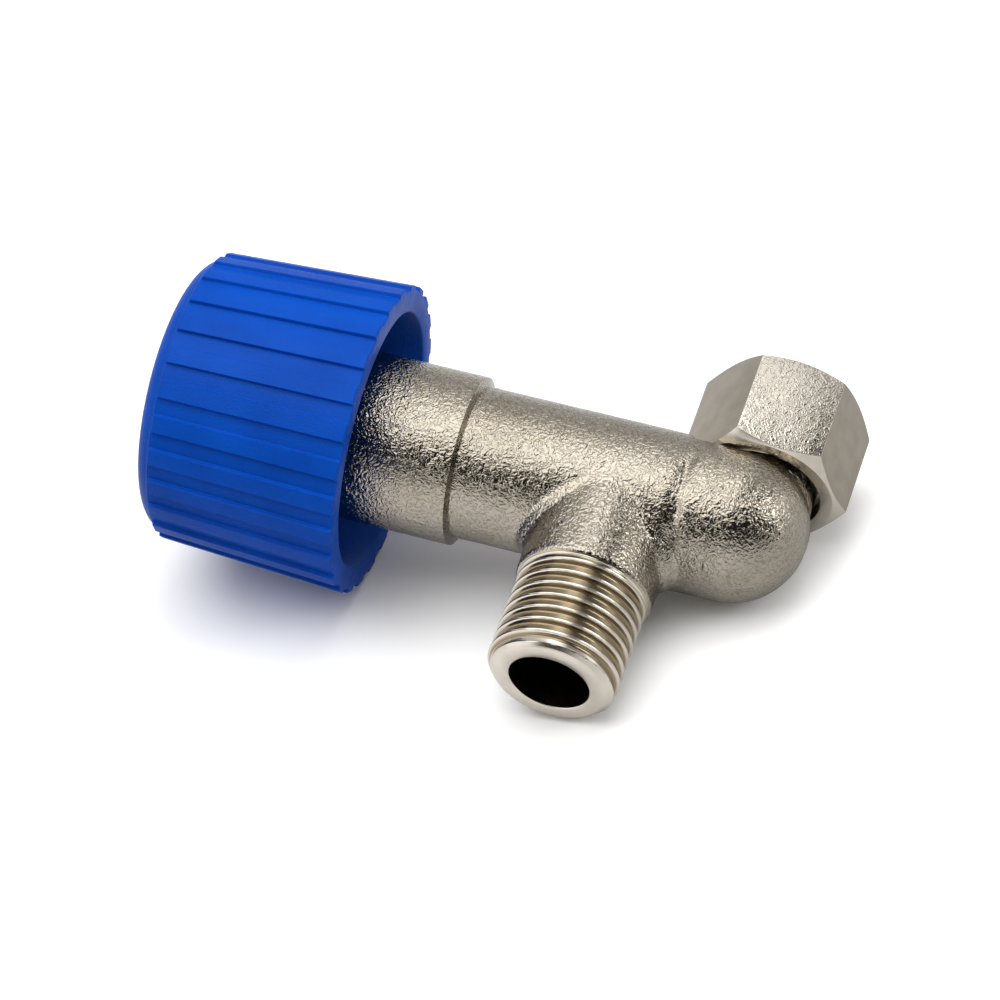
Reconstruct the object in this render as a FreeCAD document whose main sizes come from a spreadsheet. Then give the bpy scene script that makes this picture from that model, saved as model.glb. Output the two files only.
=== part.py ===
import FreeCAD, Part
import os
import re

import Sketcher

# Boiler filling valve: a forged body with a male outlet, a loose swivel nut on the inlet elbow, and a
# rising screw-down headwork under a deep ribbed knob.
# The origin is the centre of the outlet's end face. The outlet points along -Y, the barrel lies along X
# with the knob at its -X end, the inlet nut opens along +Y, and Z is up.

SIZES = {
    # Where the three axes lie
    "outlet_reach": (37.1, "outlet end face to the barrel axis"),
    "inlet_offset": (21.3, "outlet axis to the inlet axis, along the barrel"),
    # Forged barrel and headwork boss
    "barrel_radius": (12.4, "barrel and rounded elbow end"),
    "barrel_end": (18.7, "outlet axis to the centre of the rounded elbow end"),
    "boss_radius": (13.8, "boss that the headwork screws into"),
    "boss_start": (24.9, "outlet axis to the step between boss and barrel"),
    "boss_length": (19.6, "step to the open end of the body"),
    "boss_step": (1.0, "length of the sloping step"),
    "boss_chamfer": (0.8, "chamfer on the boss's open end"),
    # Outlet branch
    "outlet_radius": (10.4775, "G 1/2 thread, major radius"),
    "outlet_threaded": (17.5, "thread and nose together"),
    "outlet_nose": (1.2, "chamfer on the outlet's nose"),
    "thread_turns": (7, "grooves round the outlet, which stand for its thread"),
    "thread_pitch": (2.33, "groove to groove"),
    "thread_crest": (0.48, "width of the crest between two grooves"),
    "thread_flank": (0.3, "how far a groove's side leans"),
    "thread_depth": (0.8, "depth of a groove"),
    "outlet_bore": (6.5, "waterway radius in the outlet"),
    "outlet_bore_depth": (20.0, "outlet end face to where that bore narrows"),
    "outlet_port": (5.5, "port from there into the chamber"),
    "outlet_neck": (11.0, "forged neck beside the thread"),
    "outlet_root": (11.6, "forged neck where it joins the barrel"),
    "outlet_relief": (0.6, "slope from the thread up to the neck"),
    "saddle_fillet": (3.0, "round between the neck and the barrel"),
    # Inlet boss and spigot
    "inlet_boss": (8.7, "boss that the nut's lip rests on"),
    "inlet_root": (9.2, "forged skin left inside the milled flat"),
    "inlet_shoulder": (11.0, "barrel axis to the shoulder that the nut's lip rests on"),
    "spot_face": (7.6, "barrel axis to the flat milled round the nut's place"),
    "spot_radius": (14.6, "radius of that flat"),
    "spigot_radius": (7.8, "spigot inside the nut"),
    "spigot_land": (0.7, "spigot beyond the retaining ring's groove"),
    "inlet_bore": (5.5, "waterway radius in the spigot"),
    "inlet_drill": (3.0, "how far the inlet drill passes the barrel axis"),
    "wire_groove": (7.0, "floor radius of the retaining ring's groove"),
    # Chamber and seat
    "bonnet_bore": (10.3, "threaded bore of the boss"),
    "bonnet_bore_depth": (17.5, "depth of that bore"),
    "chamber_radius": (9.0, "chamber round the spindle"),
    "seat_reach": (9.0, "outlet axis to the seat's face"),
    "seat_bore": (5.2, "waterway radius through the seat"),
    "seat_wall": (1.6, "width of the raised seat rim"),
    "seat_height": (1.5, "height of the raised seat rim"),
    # Bonnet
    "turned_chamfer": (0.5, "chamfer on the edges of turned pieces"),
    "fit_gap": (0.05, "radial clearance of turned pieces that are fixed together"),
    "run_gap": (0.1, "radial clearance of pieces that turn in each other"),
    "bonnet_thread": (12.0, "threaded length in the boss"),
    "bonnet_seal_thickness": (1.2, "flat ring under the flange"),
    "bonnet_seal_land": (2.2, "width of that ring"),
    "bonnet_flange": (1.3, "round collar under the hexagon"),
    "bonnet_flats": (22.0, "across the flats of the bonnet's hexagon"),
    "bonnet_hexagon": (5.8, "length of the hexagon"),
    "bonnet_neck": (8.0, "neck radius"),
    "bonnet_neck_length": (6.8, "hexagon to the end of the neck"),
    "sleeve_radius": (8.7, "sleeve inside the chamber"),
    "sleeve_tip": (13.0, "outlet axis to the tip of the sleeve"),
    # Spindle
    "screw_radius": (6.5, "spindle screw"),
    "screw_length": (15.5, "length of the spindle screw"),
    "screw_start": (15.0, "outlet axis to the seat end of the spindle screw, closed"),
    "stem_radius": (5.0, "smooth stem in the bonnet's neck"),
    "valve_lift": (3.75, "travel of the spindle from closed to open"),
    "stop_gap": (0.3, "left between the screw and the bonnet's shoulder when fully open"),
    "nose_radius": (5.0, "spindle nose that carries the jumper"),
    "o_ring_section": (0.85, "section radius of the stem's sealing rings"),
    "o_ring_squeeze": (0.05, "left round a sealing ring"),
    "o_ring_first": (3.6, "neck's end to the outer ring's centre"),
    "o_ring_pitch": (4.6, "between the two rings' centres"),
    "o_ring_floor": (3.3, "floor radius of the sealing rings' grooves"),
    "circlip_gap": (0.3, "neck's end to the circlip, closed"),
    "circlip_thickness": (1.0, "circlip"),
    "circlip_floor": (4.2, "floor radius of the circlip's groove"),
    "circlip_radius": (6.6, "outer radius of the circlip"),
    "spline_radius": (4.0, "over the spline's teeth"),
    "spline_depth": (0.5, "depth of the spline"),
    "spline_teeth": (18, "teeth on the spline"),
    "spline_length": (6.4, "splined end"),
    "screw_hole": (1.65, "tapped hole in the spindle's end"),
    "screw_hole_depth": (11.0, "depth of that hole"),
    # Jumper
    "jumper_disc": (7.6, "disc radius"),
    "jumper_disc_thickness": (2.5, "disc"),
    "jumper_stem": (2.9, "stem that slides into the spindle"),
    "jumper_stem_length": (12.0, "length of the stem"),
    "jumper_bore_end": (2.6, "free depth beyond the stem"),
    "snap_place": (9.0, "disc to the snap ring"),
    "snap_floor": (2.3, "floor radius of the snap ring's groove"),
    "snap_radius": (3.4, "outer radius of the snap ring"),
    "snap_thickness": (0.8, "snap ring"),
    "snap_gap": (0.3, "round the snap ring in the spindle"),
    "seat_washer_radius": (7.3, "rubber disc"),
    "seat_washer_thickness": (2.5, "rubber disc"),
    "stud_radius": (1.5, "stud that holds the rubber disc"),
    "stud_tip": (0.6, "stud beyond its nut"),
    "washer_nut_flats": (5.5, "across the flats"),
    "washer_nut_thickness": (2.0, "small nut"),
    # Knob
    "knob_rim": (39.6, "outlet axis to the knob's open rim, closed"),
    "knob_length": (34.3, "rim to the closed end"),
    "knob_radius": (24.7, "skirt at the rim, between the bars"),
    "knob_draft": (3.0, "taper of the skirt, degrees"),
    "knob_wall": (3.7, "skirt wall"),
    "knob_end_wall": (3.0, "closed end"),
    "knob_shoulder": (4.4, "round of the closed end"),
    "bar_count": (26, "raised bars round the skirt"),
    "bar_height": (0.7, "height of a bar"),
    "bar_length": (31.3, "length of a bar"),
    "bar_share": (0.5, "share of the pitch that a bar covers"),
    "knob_turned": (1.5, "how far the knob stands turned, degrees"),
    "hub_radius": (8.0, "hub round the brass bush"),
    "hub_gap": (0.4, "circlip to the hub"),
    "web_count": (6, "webs between hub and skirt"),
    "web_thickness": (1.6, "web"),
    "web_height": (5.0, "web"),
    "bush_radius": (6.0, "brass bush, outside"),
    "screw_web": (1.0, "plastic between bush and washer"),
    "screw_clearance": (2.3, "screw hole in the plastic"),
    "well_radius": (5.6, "well round the screw head"),
    "cap_radius": (16.6, "cap disc"),
    "cap_thickness": (1.6, "cap disc"),
    "cap_proud": (0.4, "how far the cap stands out of the closed end"),
    "cap_skirt": (2.0, "ring that grips the well"),
    "cap_skirt_wall": (1.0, "wall of that ring"),
    "screw_radius_shank": (1.6, "screw shank"),
    "screw_shank": (9.0, "screw shank below the head"),
    "screw_head": (3.8, "screw head radius"),
    "screw_head_height": (2.3, "screw head"),
    "screw_socket": (2.5, "across the flats of the socket in the screw head"),
    "screw_socket_depth": (1.3, "depth of the socket"),
    "screw_washer": (4.9, "washer radius"),
    "screw_washer_thickness": (0.8, "washer"),
    # Swivel nut
    "nut_flats": (24.0, "across the flats"),
    "nut_length": (17.7, "length of the nut"),
    "nut_cup": (3.0, "depth of the cup round the inlet boss"),
    "nut_cup_radius": (9.7, "radius of the cup"),
    "nut_turn": (10.5, "how far the nut stands turned, degrees"),
    "nut_lip": (2.0, "thickness of the lip"),
    "nut_lip_gap": (0.25, "radial gap between the lip and the spigot"),
    "nut_play": (1.0, "how far the nut slides along the spigot"),
    "nut_pocket": (9.8, "radius of the pocket round the retaining ring"),
    "nut_thread": (9.316, "G 1/2 thread, minor radius"),
    "nut_thread_mouth": (0.8, "chamfer at the thread's mouth"),
    "hexagon_chamfer": (32.0, "chamfer of a hexagon's ends, degrees"),
    "hexagon_land": (0.97, "round end face of a hexagon, as a share of its flats"),
    "wire_radius": (0.8, "wire of the retaining ring"),
    "wire_play": (0.2, "play of the wire in its groove"),
    "ring_opening": (30.0, "opening of the open rings, degrees"),
    "inlet_washer_radius": (9.0, "sealing washer, outside"),
    "inlet_washer_hole": (5.7, "sealing washer, hole"),
    "inlet_washer_thickness": (2.0, "sealing washer"),
}

# Places along the barrel, from the outlet axis, and along the inlet, from the barrel axis
BODY_END = "(-boss_start - boss_length)"
FLANGE_FACE = f"({BODY_END} - bonnet_seal_thickness)"
HEXAGON_FACE = f"({FLANGE_FACE} - bonnet_flange)"
HEXAGON_END = f"({HEXAGON_FACE} - bonnet_hexagon)"
NECK_END = f"({HEXAGON_END} - bonnet_neck_length)"
SCREW_TOP = "(-screw_start - screw_length)"
SCREW_STOP = f"({SCREW_TOP} - valve_lift - stop_gap)"
STEM_BORE = "(stem_radius + run_gap)"
SCREW_BORE = "(screw_radius + run_gap)"
DISC_FACE = "(seat_reach - seat_washer_thickness)"
DISC_BACK = f"({DISC_FACE} - jumper_disc_thickness)"
CIRCLIP_FACE = f"({NECK_END} - circlip_gap)"
CIRCLIP_END = f"({CIRCLIP_FACE} - circlip_thickness)"
HUB_MOUTH = f"({CIRCLIP_END} - hub_gap)"
SPINDLE_END = f"({HUB_MOUTH} - spline_length)"
BUSH_FLOOR = f"({SPINDLE_END} - fit_gap)"
WELL_FLOOR = f"({BUSH_FLOOR} - screw_web)"
KNOB_END = "(-knob_rim - knob_length)"
CAP_SEAT = f"({KNOB_END} - cap_proud + cap_thickness)"
CUP_FLOOR = f"({KNOB_END} + knob_end_wall)"
BAR_END = "(-knob_rim - bar_length)"
NUT_FACE = "(inlet_shoulder - nut_cup)"
LIP_END = "(inlet_shoulder + nut_lip)"
WIRE_NEAR = f"({LIP_END} + nut_play + wire_play)"
WIRE_FAR = f"({WIRE_NEAR} + 2 * wire_radius + wire_play)"
SPIGOT_END = f"({WIRE_FAR} + spigot_land)"
WASHER_END = f"({SPIGOT_END} + inlet_washer_thickness)"
NUT_END = f"({NUT_FACE} + nut_length)"

# Two places closer than this are the same place, and a cut that takes less than this takes nothing
TOUCH = 0.01
LEAST_CUT = 0.001

document = FreeCAD.newDocument("FillingValve")
sheet = document.addObject("Spreadsheet::Sheet", "Sizes")
for row, (alias, (value, note)) in enumerate(SIZES.items(), start=1):
    sheet.set(f"A{row}", alias)
    sheet.set(f"B{row}", str(value))
    sheet.setAlias(f"B{row}", alias)
    sheet.set(f"C{row}", note)
document.recompute()

bodies = []


def sized(text):
    """The expression with every size name pointing at the sheet."""
    return re.sub(r"[a-z_]+", lambda word: f"Sizes.{word[0]}" if word[0] in SIZES else word[0], text)


def number(text):
    """The present value of an expression in the sheet's sizes."""
    return float(sheet.evalExpression(sized(text)))


def bind(item, name, text):
    item.setExpression(name, sized(text))


def new_body(label, x="0", y="outlet_reach", turn=None, about=(0, 1, 0)):
    """An empty body whose own origin lies on the barrel axis, or where x and y say."""
    body = document.addObject("PartDesign::Body", label)
    body.Label = label
    for axis, text in (("x", x), ("y", y)):
        if text != "0":
            bind(body, f"Placement.Base.{axis}", text)
    if turn:
        body.Placement.Rotation = FreeCAD.Rotation(FreeCAD.Vector(*about), 1)
        bind(body, "Placement.Rotation.Angle", turn)
    bodies.append(body)
    return body


def origin_part(body, role):
    return next(item for item in body.Origin.OriginFeatures if item.Role == role)


def polygon(body, name, corners, plane="XY_Plane", shift=None):
    """A closed outline on one of the body's planes, every corner held by two sizes."""
    sketch = body.newObject("Sketcher::SketchObject", name)
    sketch.AttachmentSupport = [(origin_part(body, plane), "")]
    sketch.MapMode = "FlatFace"
    if shift:
        axis, text = shift
        bind(sketch, f"AttachmentOffset.Base.{axis}", text)
    places = [FreeCAD.Vector(number(x), number(y), 0) for x, y in corners]
    following = places[1:] + places[:1]
    sketch.addGeometry([Part.LineSegment(*ends) for ends in zip(places, following)], False)
    count = len(corners)
    for index in range(count):
        sketch.addConstraint(Sketcher.Constraint("Coincident", index, 2, (index + 1) % count, 1))
    for index, ((x, y), place) in enumerate(zip(corners, places)):
        for kind, text, value, axis in (("X", x, place.x, -2), ("Y", y, place.y, -1)):
            if text == "0":
                sketch.addConstraint(Sketcher.Constraint("PointOnObject", index, 1, axis))
                continue
            held = sketch.addConstraint(Sketcher.Constraint(f"Distance{kind}", -1, 1, index, 1, value))
            sketch.renameConstraint(held, f"{kind.lower()}{index}")
            bind(sketch, f"Constraints.{kind.lower()}{index}", text)
    return sketch


def turned(body, name, outline, about="X", cut=False, angle=None, shift=None):
    """Turn an outline of (along, radius) corners about the body's X or Y axis, or cut it away."""
    if about == "X":
        corners = outline
    else:
        corners = [(radius, along) for along, radius in outline]
    sketch = polygon(body, f"{name}_outline", corners, shift=shift)
    before = body.Shape.Volume if cut else 0.0
    kind = "PartDesign::Groove" if cut else "PartDesign::Revolution"
    feature = body.newObject(kind, name)
    feature.Profile = sketch
    feature.ReferenceAxis = (sketch, ["H_Axis" if about == "X" else "V_Axis"])
    feature.Angle = 360
    if angle:
        feature.Midplane = True
        bind(feature, "Angle", angle)
    sketch.Visibility = False
    document.recompute()
    if cut and not body.Shape.Volume < before - LEAST_CUT:
        raise RuntimeError(f"{name} cuts nothing from {body.Label}")
    return feature


def hexagon(body, name, flats, start, length, plane, cut=False):
    """A hexagonal length of bar, or a hexagonal hole, on the plane's far side, from start on."""
    corners = []
    for corner in range(6):
        x = f"{flats} / sqrt(3) * cos({60 * corner})"
        y = f"{flats} / sqrt(3) * sin({60 * corner})" if corner % 3 else "0"
        corners.append((x, y))
    backwards = plane == "XZ_Plane"
    offset = f"-({start})" if backwards else start
    sketch = polygon(body, f"{name}_outline", corners, plane, shift=("z", offset))
    feature = body.newObject("PartDesign::Pocket" if cut else "PartDesign::Pad", name)
    feature.Profile = sketch
    feature.Reversed = backwards != cut
    bind(feature, "Length", length)
    sketch.Visibility = False
    document.recompute()
    return feature


def chamfered(body, name, flats, end, inward, about="X"):
    """Turn back the corners at one end of a hexagon; inward is the sign that leads into it."""
    land = f"{flats} / 2 * hexagon_land"
    beyond = f"{flats} * 2 / 3"
    rise = f"({beyond} - {land}) * tan(hexagon_chamfer)"
    outline = [(end, land), (end, beyond), (f"{end} {inward} {rise}", beyond)]
    turned(body, name, outline, about, cut=True)


def repeated(body, feature, count, name):
    """The feature repeated evenly round the body's X axis."""
    pattern = body.newObject("PartDesign::PolarPattern", name)
    pattern.Originals = [feature]
    pattern.Axis = (origin_part(body, "X_Axis"), [""])
    pattern.Angle = 360
    bind(pattern, "Occurrences", count)
    body.Tip = pattern
    document.recompute()
    return pattern


def rounded(body, name, radius, wanted):
    """Round every edge of the body that the test picks."""
    base = body.Tip
    edges = [f"Edge{index}" for index, edge in enumerate(base.Shape.Edges, start=1) if wanted(edge)]
    if not edges:
        raise RuntimeError(f"{name} finds no edge on {body.Label}")
    fillet = body.newObject("PartDesign::Fillet", name)
    fillet.Base = (base, edges)
    bind(fillet, "Radius", radius)
    document.recompute()
    return fillet


def ring(label, near, far, inner, outer, about="X", **place):
    """A flat ring between two places along its axis."""
    body = new_body(label, **place)
    turned(body, f"{label}_ring", [(near, inner), (near, outer), (far, outer), (far, inner)], about)
    return body


def open_ring(label, near, far, inner, outer):
    """A flat ring with an opening, which springs into its groove."""
    body = new_body(label)
    outline = [(near, inner), (near, outer), (far, outer), (far, inner)]
    turned(body, f"{label}_ring", outline, angle="360 - ring_opening")
    return body


def valve_body():
    body = new_body("valve_body")
    turned(body, "barrel", [
        (BODY_END, "0"),
        (BODY_END, "boss_radius - boss_chamfer"),
        (f"{BODY_END} + boss_chamfer", "boss_radius"),
        ("-boss_start", "boss_radius"),
        ("-boss_start + boss_step", "barrel_radius"),
        ("barrel_end", "barrel_radius"),
        ("barrel_end", "0"),
    ])
    elbow = body.newObject("PartDesign::AdditiveSphere", "elbow_end")
    elbow.AttachmentSupport = [(origin_part(body, "YZ_Plane"), "")]
    elbow.MapMode = "FlatFace"
    bind(elbow, "Radius", "barrel_radius")
    bind(elbow, "AttachmentOffset.Base.z", "barrel_end")
    document.recompute()

    turned(body, "outlet_neck_form", [
        ("-outlet_reach + outlet_threaded", "0"),
        ("-outlet_reach + outlet_threaded", "outlet_radius"),
        ("-outlet_reach + outlet_threaded + outlet_relief", "outlet_neck"),
        ("0", "outlet_root"),
        ("0", "0"),
    ], about="Y")
    turned(body, "inlet_boss_form", [
        ("0", "0"),
        ("0", "inlet_boss"),
        ("inlet_shoulder", "inlet_boss"),
        ("inlet_shoulder", "spigot_radius"),
        (f"{SPIGOT_END} - turned_chamfer", "spigot_radius"),
        (SPIGOT_END, "spigot_radius - turned_chamfer"),
        (SPIGOT_END, "0"),
    ], about="Y", shift=("x", "inlet_offset"))

    def joins_neck(edge):
        """The edge where the neck runs into the barrel."""
        place = edge.valueAt((edge.FirstParameter + edge.LastParameter) / 2)
        on_barrel = abs((place.y ** 2 + place.z ** 2) ** 0.5 - number("barrel_radius")) < TOUCH
        return on_barrel and place.y < 0 and abs(place.x) < number("outlet_root")

    rounded(body, "saddle", "saddle_fillet", joins_neck)

    turned(body, "outlet_thread_form", [
        ("-outlet_reach", "0"),
        ("-outlet_reach", "outlet_radius - outlet_nose"),
        ("-outlet_reach + outlet_nose", "outlet_radius"),
        ("-outlet_reach + outlet_threaded", "outlet_radius"),
        ("-outlet_reach + outlet_threaded", "0"),
    ], about="Y")
    thread_end = "(-outlet_reach + outlet_threaded)"
    groove_start = f"({thread_end} - thread_pitch + thread_crest)"
    groove = turned(body, "thread_groove", [
        (f"{groove_start} - thread_flank", "outlet_radius + thread_depth"),
        (f"{groove_start} + thread_flank", "outlet_radius - thread_depth"),
        (f"{thread_end} - thread_flank", "outlet_radius - thread_depth"),
        (f"{thread_end} + thread_flank", "outlet_radius + thread_depth"),
    ], about="Y", cut=True)
    grooves = body.newObject("PartDesign::LinearPattern", "thread_grooves")
    grooves.Originals = [groove]
    grooves.Direction = (origin_part(body, "Y_Axis"), [""])
    grooves.Reversed = True
    bind(grooves, "Length", "thread_pitch * (thread_turns - 1)")
    bind(grooves, "Occurrences", "thread_turns")
    body.Tip = grooves
    document.recompute()

    turned(body, "spot_face_cut", [
        ("spot_face", "inlet_root"),
        ("spot_face", "spot_radius"),
        (SPIGOT_END, "spot_radius"),
        (SPIGOT_END, "spigot_radius"),
        ("inlet_shoulder", "spigot_radius"),
        ("inlet_shoulder", "inlet_root"),
    ], about="Y", cut=True, shift=("x", "inlet_offset"))
    turned(body, "wire_groove_cut", [
        (WIRE_NEAR, "wire_groove"),
        (WIRE_NEAR, "inlet_boss"),
        (WIRE_FAR, "inlet_boss"),
        (WIRE_FAR, "wire_groove"),
    ], about="Y", cut=True, shift=("x", "inlet_offset"))
    turned(body, "chamber_cut", [
        (BODY_END, "0"),
        (BODY_END, "bonnet_bore"),
        (f"{BODY_END} + bonnet_bore_depth", "bonnet_bore"),
        (f"{BODY_END} + bonnet_bore_depth", "chamber_radius"),
        ("seat_reach + seat_height", "chamber_radius"),
        ("seat_reach + seat_height", "seat_bore + seat_wall"),
        ("seat_reach", "seat_bore + seat_wall"),
        ("seat_reach", "seat_bore"),
        ("inlet_offset + seat_bore", "seat_bore"),
        ("inlet_offset + seat_bore", "0"),
    ], cut=True)
    turned(body, "outlet_bore_cut", [
        ("-outlet_reach", "0"),
        ("-outlet_reach", "outlet_bore"),
        ("-outlet_reach + outlet_bore_depth", "outlet_bore"),
        ("-outlet_reach + outlet_bore_depth + outlet_bore - outlet_port", "outlet_port"),
        ("-chamber_radius / 2", "outlet_port"),
        ("-chamber_radius / 2", "0"),
    ], about="Y", cut=True)
    turned(body, "inlet_bore_cut", [
        (SPIGOT_END, "0"),
        (SPIGOT_END, "inlet_bore"),
        ("-inlet_drill", "inlet_bore"),
        ("-inlet_drill", "0"),
    ], about="Y", cut=True, shift=("x", "inlet_offset"))


def bonnet():
    body = new_body("bonnet")
    turned(body, "bonnet_form", [
        ("-sleeve_tip", "0"),
        ("-sleeve_tip", "sleeve_radius - turned_chamfer"),
        ("-sleeve_tip - turned_chamfer", "sleeve_radius"),
        (f"{FLANGE_FACE} + bonnet_thread", "sleeve_radius"),
        (f"{FLANGE_FACE} + bonnet_thread", "bonnet_bore - turned_chamfer"),
        (f"{FLANGE_FACE} + bonnet_thread - turned_chamfer", "bonnet_bore - fit_gap"),
        (FLANGE_FACE, "bonnet_bore - fit_gap"),
        (FLANGE_FACE, "bonnet_bore + bonnet_seal_land"),
        (HEXAGON_FACE, "bonnet_bore + bonnet_seal_land"),
        (HEXAGON_FACE, "bonnet_neck"),
        (f"{NECK_END} + turned_chamfer", "bonnet_neck"),
        (NECK_END, "bonnet_neck - turned_chamfer"),
        (NECK_END, "0"),
    ])
    hexagon(body, "bonnet_hexagon_form", "bonnet_flats", HEXAGON_END, "bonnet_hexagon", "YZ_Plane")
    chamfered(body, "bonnet_hexagon_chamfer", "bonnet_flats", HEXAGON_END, "+")
    turned(body, "bonnet_bores", [
        ("-sleeve_tip", "0"),
        ("-sleeve_tip", SCREW_BORE),
        (SCREW_STOP, SCREW_BORE),
        (SCREW_STOP, STEM_BORE),
        (NECK_END, STEM_BORE),
        (NECK_END, "0"),
    ], cut=True)
    ring("bonnet_seal", BODY_END, FLANGE_FACE, "bonnet_bore + fit_gap", "bonnet_bore + bonnet_seal_land")


def o_ring_place(index):
    return f"({NECK_END} + o_ring_first + {index} * o_ring_pitch)"


def spindle():
    body = new_body("spindle")
    turned(body, "spindle_form", [
        (DISC_BACK, "0"),
        (DISC_BACK, "nose_radius"),
        ("-screw_start", "nose_radius"),
        ("-screw_start", "screw_radius - turned_chamfer"),
        ("-screw_start - turned_chamfer", "screw_radius"),
        (SCREW_TOP, "screw_radius"),
        (SCREW_TOP, "stem_radius"),
        (f"{HUB_MOUTH} + hub_gap / 2", "stem_radius"),
        (f"{HUB_MOUTH} + hub_gap / 2", "spline_radius"),
        (f"{SPINDLE_END} + turned_chamfer", "spline_radius"),
        (SPINDLE_END, "spline_radius - turned_chamfer"),
        (SPINDLE_END, "0"),
    ])
    half_groove = "(o_ring_section + o_ring_squeeze)"
    for index in (0, 1):
        place = o_ring_place(index)
        turned(body, f"o_ring_groove_{index}", [
            (f"{place} - {half_groove}", "o_ring_floor"),
            (f"{place} - {half_groove}", "stem_radius + run_gap"),
            (f"{place} + {half_groove}", "stem_radius + run_gap"),
            (f"{place} + {half_groove}", "o_ring_floor"),
        ], cut=True)
    turned(body, "circlip_groove", [
        (f"{CIRCLIP_FACE} + fit_gap", "circlip_floor"),
        (f"{CIRCLIP_FACE} + fit_gap", "stem_radius + run_gap"),
        (f"{CIRCLIP_END} - fit_gap", "stem_radius + run_gap"),
        (f"{CIRCLIP_END} - fit_gap", "circlip_floor"),
    ], cut=True)
    stem_end = f"({DISC_BACK} - jumper_stem_length)"
    snap_near = f"({DISC_BACK} - snap_place)"
    turned(body, "jumper_bore", [
        (DISC_BACK, "0"),
        (DISC_BACK, "jumper_stem + run_gap"),
        (f"{snap_near} + snap_gap", "jumper_stem + run_gap"),
        (f"{snap_near} + snap_gap", "snap_radius + snap_gap"),
        (f"{snap_near} - snap_thickness - snap_gap", "snap_radius + snap_gap"),
        (f"{snap_near} - snap_thickness - snap_gap", "jumper_stem + run_gap"),
        (f"{stem_end} - jumper_bore_end", "jumper_stem + run_gap"),
        (f"{stem_end} - jumper_bore_end", "0"),
    ], cut=True)
    turned(body, "fixing_hole", [
        (SPINDLE_END, "0"),
        (SPINDLE_END, "screw_hole"),
        (f"{SPINDLE_END} + screw_hole_depth", "screw_hole"),
        (f"{SPINDLE_END} + screw_hole_depth", "0"),
    ], cut=True)
    space = turned(body, "spline_space", [
        (SPINDLE_END, "spline_radius - spline_depth"),
        (SPINDLE_END, "stem_radius"),
        (HUB_MOUTH, "stem_radius"),
        (HUB_MOUTH, "spline_radius - spline_depth"),
    ], cut=True, angle="180 / spline_teeth")
    repeated(body, space, "spline_teeth", "spline")

    for index, name in ((0, "stem_o_ring_outer"), (1, "stem_o_ring_inner")):
        seal = document.addObject("Part::Torus", name)
        seal.Label = name
        seal.Placement.Rotation = FreeCAD.Rotation(FreeCAD.Vector(0, 1, 0), 90)
        bind(seal, "Radius1", "o_ring_floor + o_ring_squeeze + o_ring_section")
        bind(seal, "Radius2", "o_ring_section")
        bind(seal, "Placement.Base.x", o_ring_place(index))
        bind(seal, "Placement.Base.y", "outlet_reach")
        bodies.append(seal)
    open_ring("spindle_circlip", CIRCLIP_FACE, CIRCLIP_END, "circlip_floor + fit_gap", "circlip_radius")


def jumper():
    body = new_body("jumper")
    snap_near = f"({DISC_BACK} - snap_place)"
    snap_far = f"({snap_near} - snap_thickness)"
    stud_end = "(seat_reach + washer_nut_thickness + stud_tip)"
    turned(body, "jumper_form", [
        (stud_end, "0"),
        (stud_end, "stud_radius / 2"),
        (f"{stud_end} - stud_radius / 2", "stud_radius"),
        (DISC_FACE, "stud_radius"),
        (DISC_FACE, "jumper_disc"),
        (DISC_BACK, "jumper_disc"),
        (DISC_BACK, "jumper_stem"),
        (f"{snap_near} + fit_gap", "jumper_stem"),
        (f"{snap_near} + fit_gap", "snap_floor"),
        (f"{snap_far} - fit_gap", "snap_floor"),
        (f"{snap_far} - fit_gap", "jumper_stem"),
        (f"{DISC_BACK} - jumper_stem_length + turned_chamfer", "jumper_stem"),
        (f"{DISC_BACK} - jumper_stem_length", "jumper_stem - turned_chamfer"),
        (f"{DISC_BACK} - jumper_stem_length", "0"),
    ])
    open_ring("jumper_snap_ring", snap_near, snap_far, "snap_floor + fit_gap", "snap_radius")
    ring("seat_washer", DISC_FACE, "seat_reach", "stud_radius + fit_gap", "seat_washer_radius")
    nut = new_body("washer_nut")
    hexagon(nut, "washer_nut_form", "washer_nut_flats", "seat_reach", "washer_nut_thickness", "YZ_Plane")
    chamfered(nut, "washer_nut_chamfer", "washer_nut_flats", "(seat_reach + washer_nut_thickness)", "-")
    turned(nut, "washer_nut_bore", [
        ("seat_reach", "0"),
        ("seat_reach", "stud_radius + fit_gap"),
        ("seat_reach + washer_nut_thickness", "stud_radius + fit_gap"),
        ("seat_reach + washer_nut_thickness", "0"),
    ], cut=True)


def skirt(radius, place):
    """The radius that a skirt surface has at a place, narrowing from the rim to the closed end."""
    return f"({radius} + ({place} + knob_rim) * tan(knob_draft))"


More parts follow.
